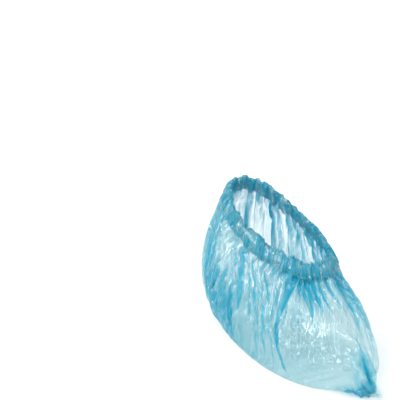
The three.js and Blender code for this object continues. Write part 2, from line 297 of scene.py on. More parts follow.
# The main tucks, where the film is doubled over in a strip: the levels that each runs
# between, its bearings at the top and the bottom, half its width in degrees, and the layers
# that it adds.
MAIN_TUCKS = (
    (0.6, 3.0, 271, 267, 1.8, 9.0),
    (1.4, 3.0, 275, 273, 0.9, 7.0),
    (1.1, 4.0, 288, 284, 0.8, 6.0),
    (1.7, 4.4, 280, 277, 0.6, 5.0),
    (1.9, 4.2, 292, 290, 0.5, 5.0),
    (0.6, 4.3, 284, 281, 0.45, 6.0),
    (0.7, 3.4, 267, 265, 0.5, 6.0),
    (0.8, 2.2, 295, 290, 0.8, 6.0),
    (0.6, 2.0, 301, 296, 0.7, 5.0),
    (2.3, 4.3, 263, 261, 2.0, 8.0),
    (0.6, 2.0, 259, 256, 1.2, 6.0),
    (0.7, 1.8, 347, 341, 1.1, 7.0),
    (1.0, 2.1, 339, 327, 0.9, 6.0),
    (0.8, 1.8, 353, 350, 0.9, 6.0),
    (0.8, 1.6, 331, 321, 0.8, 6.0),
    (2.7, 4.2, 1, -1, 1.0, 4.0),
    (0.7, 2.6, 280, 277, 1.4, 8.0),
    (3.2, 4.6, 5, -4, 1.0, 5.0),
    (0.7, 2.6, 30, 9, 2.2, 7.0),
    (0.6, 3.2, 44, 30, 1.8, 6.0),
    (0.6, 3.4, 96, 97, 1.6, 6.0),
    (0.6, 3.0, 133, 129, 1.8, 7.0),
    (1.6, 4.0, 158, 152, 2.0, 7.0),
    (0.6, 3.2, 226, 232, 2.0, 7.0),
    (0.5, 2.6, 205, 214, 1.8, 6.0),
)
# The deepest of all, which curves round the forefoot: the level, bearing, half width and
# layers at points along it.
DEEP_TUCK = (
    (0.3, 329.0, 6.0, 0),
    (0.7, 322.5, 5.0, 12),
    (1.2, 315.8, 4.0, 13),
    (1.6, 308.0, 3.4, 13),
    (2.0, 301.2, 2.3, 13),
    (2.4, 297.8, 1.3, 12),
    (3.0, 296.8, 1.1, 10),
    (3.4, 298.0, 0.9, 8),
    (3.8, 300.0, 0.7, 7),
    (4.0, 301.0, 0.3, 0),
)
DEEP_TUCK_DEPTH = 0.22  # for each layer
DEEP_TUCK_EDGE = (0.3, 1.5)  # where its edge starts and ends, in half widths from its middle

# The many small ones, which run down from the hem: how many there are, then the least and the
# most of each one's half width in degrees, its layers, the level that it starts at, its length
# in levels, the degrees that it drifts in a level, and how fast it sways, in radians a level.
# sway is how far it sways, in degrees.
TUCKS = {
    "count": 120,
    "half_width": (0.35, 1.2),
    "layers": (1.0, 6.0),
    "start": (-0.5, 1.2),
    "length": (0.5, 4.0),
    "drift": (-0.8, 0.8),
    "swaying": (1.5, 3.0),
    "sway": 0.3,
}
TUCK_DEPTH = 1.8
TUCK_FULL = 2  # a tuck of this many layers has its full depth
TUCK_TAPER = 0.6  # the share of its width that a small tuck loses on the way down
TUCK_EDGE = (0.2, 1.4)  # as for the deep tuck
TUCK_START = 0.2  # the share of its length that a tuck takes to reach its full layers
TUCK_END = {"main": 0.6, "small": 0.5}  # the share of its length where it starts to fade
# The front, where small tucks keep to this length.
SHORT_FRONT = {"bearing": 350, "ends": (30, 60), "length": 1.6}
# How much of its layers a tuck has, and how that changes with noise.
TUCK_SHADE = {"share": 0.8, "change": 0.5, "cells": 230, "rows": 1.2}

FOLLOW_STEPS = 6  # how often the search for the top of a fold line is refined


def noise(around, down, cells, rows, draw):
    """Smooth noise from -1 to 1 that closes on itself: around is in turns, down in levels.

    There are so many cells round the bag, and so many rows of them in a level.
    """
    random = np.random.default_rng([SEED, draw])
    # The rows start one level above the hem, and go on past the sole.
    deep = int(rows * (SOLE_LEVEL + 3)) + 4
    values = random.uniform(-1, 1, (deep, cells))
    u = (around % 1) * cells
    v = np.clip((down + 1) * rows, 0, deep - 1.001)
    i, j = np.floor(u).astype(int), np.floor(v).astype(int)
    across, along = smooth(0, 1, u - i), smooth(0, 1, v - j)
    i = i % cells
    k = (i + 1) % cells
    top = values[j, i] * (1 - across) + values[j, k] * across
    low = values[j + 1, i] * (1 - across) + values[j + 1, k] * across
    return top * (1 - along) + low * along


def relief(around, down, sizes, draw):
    """Noise of several sizes, added up: each has its cells, its rows and its height."""
    height = 0.0 * (around + down)
    for i, (cells, rows, tall) in enumerate(sizes):
        height += tall * noise(around, down, cells, rows, draw + i)
    return height


def hem_bearing(bearing, level):
    """The bearing at the hem of the fold line that passes through a place on the film."""
    lines = sorted(
        (top, turn(top, bottom) / (end - start))
        for start, end, top, bottom, _, _ in FOLDS
        if start < 1
    )
    tops, slants = np.array(lines).T
    top = bearing + 0.0 * level
    for _ in range(FOLLOW_STEPS):
        top = bearing - level * np.interp(top % 360, tops, slants, period=360)
    return top


def deep_tuck_away(bearing, level):
    """How far each place is from the middle of the deep tuck, in half widths of it."""
    levels, bearings, half_widths, _ = np.array(DEEP_TUCK).T
    away = np.abs(turn(np.interp(level, levels, bearings), bearing))
    return away / np.interp(level, levels, half_widths)


def deep_tuck_share(bearing, level):
    """1 in the middle of the deep tuck, falling to 0 past its edge."""
    return 1 - smooth(*DEEP_TUCK_EDGE, deep_tuck_away(bearing, level))


def deep_tuck(bearing, level):
    """The layers that the deep tuck adds."""
    levels, _, _, layers = np.array(DEEP_TUCK).T
    return deep_tuck_share(bearing, level) * np.interp(level, levels, layers)


def falling(level, left, more, end):
    """left + more at the hem, falling to left at the level where the fall ends."""
    return left + more * (1 - smooth(0.0, end, level))


def hump(away, half_width):
    """1 in the middle, falling away to both sides."""
    return np.exp(-((away / half_width) ** 2))


def slackness(bearing, level):
    """How much spare film there is: 1 at the hem, and little where a shoe stretches it."""
    front = 1 - smooth(*FRONT["ends"], np.abs(turn(FRONT["bearing"], bearing)))
    side = falling(level, *SIDE_SLACK) - LOW_LOSS["share"] * smooth(*LOW_LOSS["levels"], level)
    patch = hump(turn(SLACK_PATCH["bearing"], bearing), SLACK_PATCH["half_width"])
    side = side + SLACK_PATCH["extra"] * patch * hump(level - SLACK_PATCH["level"], 1)
    by_tuck = hump(deep_tuck_away(bearing, level), TAUT_TUCK["half_widths"])
    by_tuck = by_tuck * smooth(*TAUT_TUCK["levels"], level)
    on_side = hump(turn(TAUT_SIDE["bearing"], bearing), TAUT_SIDE["half_width"])
    on_side = TAUT_SIDE["share"] * on_side * smooth(*TAUT_SIDE["levels"], level)
    slack = front * falling(level, *CAP_SLACK) + (1 - front) * side
    return slack * (1 - TAUTNESS * np.maximum(by_tuck, on_side))


def crushing(bearing, level):
    """How crushed the film is: 1 in the pocket at the toe, a little less in that at the heel."""
    most = 0.0
    for middle, spread, levels, strength in POCKETS.values():
        across = 1 - smooth(*spread, np.abs(turn(middle, bearing)))
        most = np.maximum(most, strength * (across * smooth(*levels, level)))
    return most * (1 - smooth(*POCKET_END, level))


def bunching(bearing, level):
    """The layers that the bunches add, in streaks that run down the film."""
    layers = 0.0 * (bearing + level)
    for middle, height, half_width, half_height, extra in BUNCHES:
        across = turn(middle, bearing) / half_width
        down = (level - height) / half_height
        layers += extra * np.exp(-BUNCH_SHARPNESS * (across**2 + down**2))
    streaks = noise(hem_bearing(bearing, level) / 360, level, *STREAKS, DRAWS["streaks"])
    mottles = noise(bearing / 360, level, *MOTTLES, DRAWS["mottles"])
    crushed = crushing(bearing, level)
    spread = BUNCH_SHARE + (1 - crushed) * streaks + (MOTTLING[0] + MOTTLING[1] * crushed) * mottles
    return layers * np.clip(spread, *BUNCH_RANGE)


def tuck_share(away, share, end):
    """How much of a tuck's layers is at a place.

    away is in half widths from the tuck's middle, share is how far down the tuck it is, and
    end is where the tuck starts to fade.
    """
    across = 1 - smooth(*TUCK_EDGE, np.abs(away))
    return across * smooth(0, TUCK_START, share) * (1 - smooth(end, 1, share))


def tuck_layers(bearing, level):
    """The layers that the tucks add, from 0 up."""
    random = np.random.default_rng([SEED, DRAWS["tucks"]])
    top = hem_bearing(bearing, level)
    layers = deep_tuck(bearing, level)
    for start, end, upper, lower, half_width, extra in MAIN_TUCKS:
        share = np.clip((level - start) / (end - start), 0, 1)
        away = turn(upper + turn(upper, lower) * share, bearing) / half_width
        layers += extra * tuck_share(away, share, TUCK_END["main"])
    for _ in range(TUCKS["count"]):
        centre = random.uniform(0, 360)
        half_width = random.uniform(*TUCKS["half_width"])
        start = random.uniform(*TUCKS["start"])
        length = random.uniform(*TUCKS["length"])
        extra = random.uniform(*TUCKS["layers"])
        drift = random.uniform(*TUCKS["drift"])
        swaying = random.uniform(*TUCKS["swaying"])
        sway = TUCKS["sway"] * np.sin(level * swaying + random.uniform(0, 6))
        front = 1 - smooth(*SHORT_FRONT["ends"], abs(turn(SHORT_FRONT["bearing"], centre)))
        length = length * (1 - front) + min(length, SHORT_FRONT["length"]) * front
        share = np.clip((level - start) / length, 0, 1)
        width = half_width * (1 - TUCK_TAPER * share)
        away = turn(centre + drift * level + sway, top) / width
        layers += extra * tuck_share(away, share, TUCK_END["small"])
    shade = noise(top / 360, level, TUCK_SHADE["cells"], TUCK_SHADE["rows"], DRAWS["tuck_shade"])
    return layers * (TUCK_SHADE["share"] + TUCK_SHADE["change"] * shade)


def wrinkle_height(bearing, level):
    """The height of the wrinkles that follow the folds, where there is spare film."""
    top = hem_bearing(bearing, level) / 360
    height = 0.0 * top
    for i, (cells, rows, tall, end) in enumerate(WRINKLES):
        fade = 1 - smooth(WRINKLE_FADE * end, end, level)
        height += tall * noise(top, level, cells, rows, DRAWS["wrinkles"] + i) * fade
    return height * slackness(bearing, level)


def crinkle_height(bearing, level):
    """The height of the creases that the film keeps, wherever it is pulled."""
    crushed = crushing(bearing, level) * relief(bearing / 360, level, CRUSHES, DRAWS["crushes"])
    crinkled = relief(bearing / 360, level, CRINKLES, DRAWS["crinkles"])
    return (crushed + crinkled) * above_sole(level)


def crumple_height(bearing, level):
    """The height of the sharp crumples, which the film has set into."""
    strength = CRUMPLED[0] + CRUMPLED[1] * crushing(bearing, level)
    crumples = relief(bearing / 360, level, CRUMPLES, DRAWS["crumples"])
    return strength * crumples * above_sole(level)


# ---------------------------------------------------------------- settling

# The threads of a film: how many rows and columns on each one's far end is, and how much of
# its error it makes good at a time. The short ones keep the film's lengths and the slant
# ones its angles; the long ones are its stiffness against a crease.
THREADS = (
    (0, 1, 1.0),
    (1, 0, 1.0),
    (1, 1, 0.4),
    (1, -1, 0.4),
    (0, 2, 0.05),
    (2, 0, 0.3),
)
NO_LENGTH = 1e-6  # keeps a length of nothing from being divided by


def pull(points, first, second, rest, give):
    """Moves the two ends of each thread together or apart, towards its length at rest."""
    gap = points[second] - points[first]
    length = np.sqrt(dot(gap, gap))
    shift = gap * (0.5 * give * (1 - rest / np.maximum(length, NO_LENGTH)))[:, None]
    points[first] += shift
    points[second] -= shift


def thread_ends(rows, columns, down, across):
    """Both ends of each thread, in two sets that use no place twice."""
    index = np.arange(rows * columns).reshape(rows, columns)
    for parity in range(2):
        row = np.arange(rows - down)
        column = np.arange(columns)
        if down:
            row = row[(row // down) % 2 == parity]
        else:
            column = column[(column // across) % 2 == parity]
        first = index[np.ix_(row, column)].ravel()
        second = index[np.ix_(row + down, (column + across) % columns)].ravel()
        yield first, second


def make_threads(shape, fullness):
    """Each set of threads: its two ends, its lengths at rest and how much it makes good."""
    rows, columns, _ = shape.shape
    around = unit(np.roll(shape, -1, axis=1) - np.roll(shape, 1, axis=1)).reshape(-1, 3)
    spare = (fullness - 1).reshape(-1)
    flat = shape.reshape(-1, 3)
    for down, across, give in THREADS:
        for first, second in thread_ends(rows, columns, down, across):
            gap = flat[second] - flat[first]
            along = dot(gap, around[first]) * spare[first]
            rest = np.linalg.norm(gap + along[:, None] * around[first], axis=1)
            yield first, second, rest, give


def settle(start, shape, fullness, base, normal, limits, steps):
    """Lets a film that closes on itself find its folds, from start.

    Its threads are as long as on shape, but for the ones that go round, which are fullness
    times that. limits are the least and the most height above base that it keeps to, and how
    far it may slide sideways. It stays above the floor.
    """
    rows, columns, _ = start.shape
    threads = list(make_threads(shape, fullness))
    points = start.reshape(-1, 3).copy()
    base, normal = base.reshape(-1, 3), normal.reshape(-1, 3)
    low, high, sideways = (np.broadcast_to(v, (rows, columns)).reshape(-1) for v in limits)
    for _ in range(steps):
        for thread in threads:
            pull(points, *thread)
        off = points - base
        out = dot(off, normal)
        side = off - out[:, None] * normal
        slid = np.linalg.norm(side, axis=1)
        side *= np.minimum(1, sideways / np.maximum(slid, NO_LENGTH))[:, None]
        points = base + np.clip(out, low, high)[:, None] * normal + side
        points[:, 2] = np.maximum(points[:, 2], FLOOR)
    return points.reshape(rows, columns, 3)


# ---------------------------------------------------------------- meshes from grids

def make_object(name, mesh, material=None):
    """A new object in the scene, at the origin."""
    if material:
        mesh.materials.append(material)
    piece = bpy.data.objects.new(name, mesh)
    bpy.context.scene.collection.objects.link(piece)
    return piece


def grid_normals(grid, closed=True):
    """The way out of the film at each place of a grid of points."""
    if closed:
        across = np.roll(grid, -1, axis=1) - np.roll(grid, 1, axis=1)
    else:
        across = np.gradient(grid, axis=1)
    return unit(np.cross(across, -np.gradient(grid, axis=0)))


def grid_faces(rows, columns, closed, start=0):
    """Quads of a grid of points, whose outside is on the left as one goes round and down."""
    index = start + np.arange(rows * columns).reshape(rows, columns)
    right = np.roll(index, -1, axis=1)
    if not closed:
        index, right = index[:, :-1], right[:, :-1]
    return np.stack([index[:-1], index[1:], right[1:], right[:-1]], axis=-1).reshape(-1, 4)


def store(layer, field, values):
    """Fills a layer of a mesh with values, in the order of its points or corners."""
    layer.data.foreach_set(field, values.astype(np.float32).ravel())


def mesh_from(name, points, faces, layers, places):
    """A smooth mesh in metres from points in millimetres.

    layers are named values on its points, and places are where they lie on the film's map.
    """
    mesh = bpy.data.meshes.new(name)
    # A quad at the end of a strip has a corner twice, and becomes a triangle.
    corners_of = [list(dict.fromkeys(face)) for face in faces.tolist()]
    mesh.from_pydata((points * MM).tolist(), [], corners_of)
    for layer, values in layers.items():
        store(mesh.attributes.new(layer, "FLOAT", "POINT"), "value", values)
    corners = np.empty(len(mesh.loops), np.int32)
    mesh.loops.foreach_get("vertex_index", corners)
    store(mesh.uv_layers.new(name="film"), "uv", places[corners])
    mesh.polygons.foreach_set("use_smooth", np.ones(len(mesh.polygons), bool))
    mesh.update()
    return mesh


def film_sheet(name, grid, thickness, layers, places, material, closed=True, end_strip=False):
    """A film with both its faces: the grid, another inside it, and rims that join the two."""
    rows, columns, _ = grid.shape
    outer = grid.reshape(-1, 3)
    inner = (grid - thickness * grid_normals(grid, closed)).reshape(-1, 3)
    count = rows * columns
    faces = [
        grid_faces(rows, columns, closed),
        grid_faces(rows, columns, closed, count)[:, ::-1],
    ]
    index = np.arange(count).reshape(rows, columns)
    edges = [np.append(index[0], index[0, 0]) if closed else index[0]]
    if end_strip:
        # The last row folds flat on itself along the middle, and the strip closes it.
        half = columns // 2
        right, left = index[-1, : half + 1], index[-1, -np.arange(half + 1)]
        strip = np.stack([right[:-1], left[:-1], left[1:], right[1:]], axis=-1)
        faces += [strip, (strip + count)[:, ::-1]]
    elif closed:
        edges.append(np.append(index[-1], index[-1, 0])[::-1])
    else:
        edges += [index[:, -1], index[-1, ::-1], index[::-1, 0]]
    for edge in edges:
        a, b = edge[:-1], edge[1:]
        faces.append(np.stack([a, b, b + count, a + count], axis=-1))
    both = {layer: np.tile(values.ravel(), 2) for layer, values in layers.items()}
    places = np.tile(places.reshape(-1, 2), (2, 1))
    mesh = mesh_from(name, np.concatenate([outer, inner]), np.concatenate(faces), both, places)
    return make_object(name, mesh, material)


# ---------------------------------------------------------------- finishes

# Deep blue also shows the painted shade in the furrows of the bag's wall.
DEEP_BLUE = (0.0, 0.455, 0.62, 1)  # where many layers of film lie on each other
PALE_BLUE = (0.14, 0.57, 0.64, 1)
LAYERS_SHOWN = (1.0, 6.0)  # how many layers are the palest, and how many the deepest
WHITE = (1, 1, 1, 1)

# The share of what is behind it that one face of each film hides, how rough its gloss is, how
# high its creases and its crinkles stand, and how many crinkles there are in a metre.
FILM_FINISHES = {
    "thin blue film": {
        "hides": 0.12, "roughness": 0.07, "creases": 0.65, "crinkles": 0.65, "grain": 45,
    },
    "gathered hem film": {
        "hides": 0.15, "roughness": 0.08, "creases": 0.7, "crinkles": 1.1, "grain": 95,
    },
    "welded film": {
        "hides": 0.14, "roughness": 0.07, "creases": 0.5, "crinkles": 0.6, "grain": 90,
    },
}
CREASE_PITCH = (260, 36, 1)  # creases in a metre round the film and down it
CREASE = {"Scale": 1.0, "Detail": 3.0, "Roughness": 0.55, "Distortion": 0.4}
CRINKLE = {"Detail": 2.0, "Roughness": 0.5, "Distortion": 0.6}
CRINKLE_WIDTH = 0.07  # the share of the noise's height that a crinkle's ridge takes up
CRUMPLE = {"Scale": 260.0, "Detail": 2.0, "Roughness": 0.5}
CRUMPLE_HEIGHT = 2.8
CLOUD = {"Scale": 38.0, "Detail": 3.0, "Roughness": 0.6}  # the pigment's unevenness
CLOUD_LAYERS = (0.5, 0.75)  # how much the clouds change the layers, and their least share
# The share of light that film mirrors where it faces one, what is added where it is seen edge
# on, and the exponent that keeps that to its edges.
GLOSS = {"face": 0.05, "edge": 0.4, "sharpness": 5.0}

YARN = {"Scale": 900.0, "Detail": 3.0, "Roughness": 0.7}
YARN_DARK = (0.42, 0.62, 0.70, 1)
YARN_LIGHT = (0.78, 0.88, 0.92, 1)


def add_node(tree, kind, inputs, **settings):
    """A node with its settings, and with its inputs set to values or joined to sockets."""
    node = tree.nodes.new(kind)
    for name, value in settings.items():
        setattr(node, name, value)
    for name, value in inputs.items():
        if isinstance(value, bpy.types.NodeSocket):
            tree.links.new(value, node.inputs[name])
        else:
            node.inputs[name].default_value = value
    return node.outputs


def maths(tree, operation, *values):
    """The result of a sum on values or sockets."""
    return add_node(tree, "ShaderNodeMath", dict(enumerate(values)), operation=operation)[0]


def noise_node(tree, place, sizes, dimensions="2D"):
    """Noise from 0 to 1 at each place."""
    return add_node(
        tree, "ShaderNodeTexNoise", {"Vector": place, **sizes}, noise_dimensions=dimensions
    )["Fac"]


def blend(tree, share, first, second):
    """A colour between two others, which are a Mix node's inputs 6 and 7."""
    return add_node(tree, "ShaderNodeMix", {0: share, 6: first, 7: second}, data_type="RGBA")[2]


def new_material(name):
    """A new material and its tree of nodes."""
    material = bpy.data.materials.new(name)
    material.use_nodes = True
    return material, material.node_tree


def film_relief(tree, creases, crinkles, grain):
    """Fine relief of the film: creases that run down it, and crinkles that run any way."""
    place = add_node(tree, "ShaderNodeUVMap", {}, uv_map="film")["UV"]
    drawn = add_node(tree, "ShaderNodeMapping", {"Vector": place, "Scale": CREASE_PITCH})[0]
    crease = noise_node(tree, drawn, CREASE)
    fold = maths(tree, "ABSOLUTE", maths(tree, "SUBTRACT", crease, 0.5))
    crinkle = noise_node(tree, place, {"Scale": grain, **CRINKLE})
    off_line = maths(tree, "ABSOLUTE", maths(tree, "SUBTRACT", crinkle, 0.5))
    ridge = add_node(
        tree, "ShaderNodeMapRange",
        {"Value": off_line, "From Max": CRINKLE_WIDTH, "To Min": 1.0, "To Max": 0.0},
        interpolation_type="SMOOTHSTEP",
    )[0]
    crumple = noise_node(tree, place, CRUMPLE)
    crushed = add_node(tree, "ShaderNodeAttribute", {}, attribute_name="crushed")["Fac"]
    crumpled = maths(tree, "MULTIPLY", crushed, crumple)
    height = maths(tree, "MULTIPLY_ADD", fold, creases, maths(tree, "MULTIPLY", ridge, crinkles))
    height = maths(tree, "MULTIPLY_ADD", crumpled, CRUMPLE_HEIGHT, height)
    return add_node(tree, "ShaderNodeBump", {"Height": height, "Strength": 1.0, "Distance": MM})[0]


def film_material(name, hides, roughness, creases, crinkles, grain):
    """Pigmented film that shows what is behind it. hides is the share that one face hides."""
    material, tree = new_material(name)
    tree.nodes.clear()
    relief_normal = film_relief(tree, creases, crinkles, grain)

    # gathered is the film's layers, and on the bag's wall it also holds painted shade in the
    # furrows.
    gathered = add_node(tree, "ShaderNodeAttribute", {}, attribute_name="gathered")["Fac"]
    place = add_node(tree, "ShaderNodeTexCoord", {})["Object"]
    cloud = noise_node(tree, place, CLOUD, dimensions="3D")
    layers = maths(tree, "MULTIPLY", gathered, maths(tree, "MULTIPLY_ADD", cloud, *CLOUD_LAYERS))
    cover = maths(tree, "SUBTRACT", 1.0, maths(tree, "POWER", 1 - hides, layers))
    few, many = LAYERS_SHOWN
    depth = add_node(
        tree, "ShaderNodeMapRange", {"Value": gathered, "From Min": few, "From Max": many}
    )[0]
    colour = blend(tree, depth, PALE_BLUE, DEEP_BLUE)

    lit = add_node(tree, "ShaderNodeBsdfDiffuse", {"Color": colour})[0]
    glow = add_node(tree, "ShaderNodeBsdfTranslucent", {"Color": colour})[0]
    pigment = add_node(tree, "ShaderNodeMixShader", {0: 0.5, 1: lit, 2: glow})[0]
    clear = add_node(tree, "ShaderNodeBsdfTransparent", {"Color": WHITE})[0]
    film = add_node(tree, "ShaderNodeMixShader", {0: cover, 1: clear, 2: pigment})[0]

    facing = add_node(tree, "ShaderNodeLayerWeight", {"Blend": 0.5, "Normal": relief_normal})
    edge_on = maths(tree, "POWER", facing["Facing"], GLOSS["sharpness"])
    gloss = maths(tree, "MULTIPLY_ADD", edge_on, GLOSS["edge"], GLOSS["face"])
    shine = add_node(
        tree, "ShaderNodeBsdfGlossy",
        {"Color": WHITE, "Roughness": roughness, "Normal": relief_normal},
    )[0]
    surface = add_node(tree, "ShaderNodeMixShader", {0: gloss, 1: film, 2: shine})[0]
    add_node(tree, "ShaderNodeOutputMaterial", {"Surface": surface})
    return material


def elastic_material():
    """Pale rubber threads wound with yarn."""
    material, tree = new_material("wound elastic")
    shader = tree.nodes["Principled BSDF"]
    place = add_node(tree, "ShaderNodeTexCoord", {})["Object"]
    yarn = noise_node(tree, place, YARN, dimensions="3D")
    tint = blend(tree, yarn, YARN_DARK, YARN_LIGHT)
    bump = add_node(tree, "ShaderNodeBump", {"Height": yarn, "Strength": 0.7, "Distance": 0.3 * MM})
    tree.links.new(tint, shader.inputs["Base Color"])
    tree.links.new(bump[0], shader.inputs["Normal"])
    shader.inputs["Roughness"].default_value = 0.75
    return material


# ---------------------------------------------------------------- the film body

COLUMNS = 512
WALL_ROWS = 78
WALL_STEPS = 260
HEM_FULLNESS = 0.45  # spare film round the hem, as a share of the hem's length
CRUSHED_FULLNESS = 0.25
# How far the film may move from the loft: any film, what slack adds, and what crushing adds.
OUTWARD = (1.2, 4.5, 2)
INWARD = (1.0, 7.0, 4)
SIDEWAYS = (1.0, 4.5, 3)
FOLD_PLAY = 0.6  # how far it may always move from the long folds
HEM_HOLD = {"share": 0.15, "levels": (0.2, 0.9)}  # how free it is at the hem, and where that ends

# The film looks thicker where it turns away, up to a slant with this cosine, and at the hem.
LEAST_SLANT = 0.42
HEM_LAYERS = {"most": 2.2, "levels": 0.5}
# Of the layers that tucks and bunches add, the share that shows on a ridge, what a furrow adds to
# that, which is painted shade that makes the furrows deeper blue, and how much of a furrow the deep
# tuck always is.
DOUBLED_AND_SHADED = {"ridge": 0.55, "furrow": 0.9, "deep_tuck": 0.6}
FURROW_COLUMNS = 6  # how many columns to each side a furrow is judged against
FURROW_DEPTH = 1.6  # a furrow this deep counts in full, and a ridge this high not at all

# The sole draws in to its middle line. Its film lies flat, with low wrinkles and creases. turn
# and level are the lengths along it and across it that stand for a turn and a level of noise.
SOLE_ROWS = 11
SOLE_DRAW = (0.97, 0.10)  # across and along
SOLE_WRINKLES = {"turn": 170, "level": 60, "cells": 9, "rows": 1.3, "height": 0.5, "rise": 0.2}
SOLE_CREASES = {"turn": 120, "level": 40, "cells": 11, "rows": 1.2, "most": 0.5}
SOLE_LAYERS = 0.8

EVEN_LEVELS = (0.2, 1.5, 3.0)  # where the columns are spaced evenly
EVEN_STEPS = 3600


def even_bearings(count):
    """Bearings an even distance apart round the bag, alike on its two sides."""
    fine = np.linspace(0, 360, EVEN_STEPS + 1)
    step = np.zeros(EVEN_STEPS)
    for level in EVEN_LEVELS:
        lengths = np.linalg.norm(np.diff(loft_row(fine, level), axis=0), axis=1)
        step += lengths / lengths.sum()
    step = step + step[::-1]
    along = np.concatenate([[0], np.cumsum(step)]) / step.sum()
    return np.interp(np.arange(count) / count, along, fine)


def down_and_round(grid):
    """How far each place of a grid lies round the film and down it, in metres."""
    round_step = np.linalg.norm(np.diff(grid, axis=1, append=grid[:, :1]), axis=-1).mean(axis=0)
    down_step = np.linalg.norm(np.diff(grid, axis=0, prepend=grid[:1]), axis=-1)
    u = np.broadcast_to(np.cumsum(round_step), grid.shape[:2])
    return np.stack([u, np.cumsum(down_step, axis=0)], axis=-1) * MM


def slant_layers(grid, normal, least):
    """How many layers thick film looks where it turns away from the surface it follows."""
    return 1 / np.clip(dot(grid_normals(grid), normal), least, 1)


def film_wall(bearing, levels):
    """The film from the hem line to the edge of the sole, and the loft that it follows."""
    level, b = levels[:, None], bearing[None, :]
    base, normal = loft(bearing, levels)
    base[..., 2] += FLOOR * at_floor(level)
    points = np.maximum(peak_share(b, 0), peak_share(b, 180))
    folds = fold_height(b, level) * (1 - np.where(level > PEAK_LEVEL, points, 0))
    folds += crinkle_height(b, level) - DEEP_TUCK_DEPTH * deep_tuck(b, level)
    shape = base + folds[..., None] * normal
    gathers = wrinkle_height(b, level)
    gathers -= TUCK_DEPTH * np.minimum(1, tuck_layers(b, level) / TUCK_FULL)
    start = shape + gathers[..., None] * normal

    slack, crushed = slackness(b, level), crushing(b, level)
    fullness = 1 + HEM_FULLNESS * slack + CRUSHED_FULLNESS * crushed
    held = HEM_HOLD["share"]
    free = (1 - at_floor(level)) * (held + (1 - held) * smooth(*HEM_HOLD["levels"], level))
    inward, outward, sideways = (
        (always + by_slack * slack + by_crushing * crushed) * free
        for always, by_slack, by_crushing in (INWARD, OUTWARD, SIDEWAYS)
    )
    limits = (
        np.minimum(-inward, folds - FOLD_PLAY),
        np.maximum(outward, folds + FOLD_PLAY),
        sideways,
    )
    grid = settle(start, shape, fullness, base, normal, limits, WALL_STEPS)
    grid += crumple_height(b, level)[..., None] * normal
    grid[..., 2] = np.maximum(grid[..., 2], FLOOR)
    return grid, base, normal


def furrows(wall, base, normal):
    """How far each place lies in a furrow, from 0 on a ridge to 1."""
    out = dot(wall - base, normal)
    reach = range(-FURROW_COLUMNS, FURROW_COLUMNS + 1)
    level_with = sum(np.roll(out, step, axis=1) for step in reach) / len(reach)
    return smooth(-FURROW_DEPTH, FURROW_DEPTH, level_with - out)


def sole_noise(places, pattern, draw):
    """Noise over the places of the sole."""
    turns = places[..., 1] / pattern["turn"] + 0.5
    levels = places[..., 0] / pattern["level"] + 1
    return noise(turns, levels, pattern["cells"], pattern["rows"], draw)


def film_sole(edge):
    """The sole inside its edge: rows that draw in to its middle line, with flat wrinkles."""
    rows = []
    for share in np.linspace(0, 1, SOLE_ROWS + 1)[1:]:
        row = edge.copy()
        row[:, :2] *= 1 - np.array(SOLE_DRAW) * share
        lift = np.clip(sole_noise(row, SOLE_WRINKLES, DRAWS["sole_lift"]), 0, 1)
        rise = SOLE_WRINKLES["height"] * lift * smooth(0, SOLE_WRINKLES["rise"], share)
        row[:, 2] = FLOOR + rise
        rows.append(row)
    return np.array(rows)


def wall_layers(bearing, level, wall, base, normal):
    """How many layers thick the film of the wall looks at each place, with painted shade in its
    furrows.
    """
    furrow_shade = np.maximum(
        furrows(wall, base, normal), DOUBLED_AND_SHADED["deep_tuck"] * deep_tuck_share(bearing, level)
    )
    doubled = tuck_layers(bearing, level) + bunching(bearing, level)
    gathered = slant_layers(wall, normal, LEAST_SLANT)
    # Painted shade: the layers count for more in furrows than on ridges, so the furrows come out
    # deeper blue.
    gathered += doubled * (DOUBLED_AND_SHADED["ridge"] + DOUBLED_AND_SHADED["furrow"] * furrow_shade)
    gathered += HEM_LAYERS["most"] * hump(level, HEM_LAYERS["levels"])
    return gathered + crushing(bearing, level)


def make_film_body(material):
    """The bag: its wall and its sole, as one film."""
    bearing = even_bearings(COLUMNS)
    levels = np.linspace(0, SOLE_LEVEL, WALL_ROWS + 1)
    wall, base, normal = film_wall(bearing, levels)
    sole = film_sole(wall[-1])
    grid = np.concatenate([wall, sole])
    b, level = bearing[None, :], levels[:, None]
    creases = np.abs(sole_noise(sole, SOLE_CREASES, DRAWS["sole_creases"]))
    sole_layers = SOLE_LAYERS + np.clip(creases, 0, SOLE_CREASES["most"])
    layers = {
        "gathered": np.concatenate([wall_layers(b, level, wall, base, normal), sole_layers]),
        "crushed": np.concatenate([crushing(b, level), np.zeros(sole.shape[:2])]),
    }
    places = down_and_round(grid)
    return film_sheet("thin_film", grid, FILM, layers, places, material, end_strip=True)


# ---------------------------------------------------------------- the hem

# The hem's heights from the bag's top edge, up the film, half its thickness, and how square
# its two sides and its top are.
HEM = {"bottom": -6.0, "top": 12.5, "half": 2.8, "side_square": 0.55, "top_square": 0.6}
HEM_RUN = 0.3  # in levels: the film's slope over this run gives the way up
HEM_COLUMNS = 840
HEM_ROWS = 30
HEM_STEPS = 90
HEM_CASING_FULLNESS = 1.4
HEM_LIMITS = (-1.6, 2.4, 2.4)  # how far its film may move inwards, outwards and sideways
# Its uneven top and lower edges: how many waves go round, their height, and the exponent that
# keeps them to the edge.
FRILL = {"waves": 84, "height": 2.2, "keep": 4}
LOWER_WAVE = {"waves": 96, "height": 2.0, "keep": 2}
# Pleats and crumples, as in the tables of relief, and how many levels of noise their lengths
# over the top stand for.
PLEATS = ((70, 1.2, 2.0), (118, 2.0, 1.8), (210, 3.4, 1.2))
PLEAT_LEVELS = 1.5
HEM_CRUMPLES = ((60, 1.2, 1.0), (130, 2.4, 0.7))
HEM_CRUMPLE_LEVELS = 2
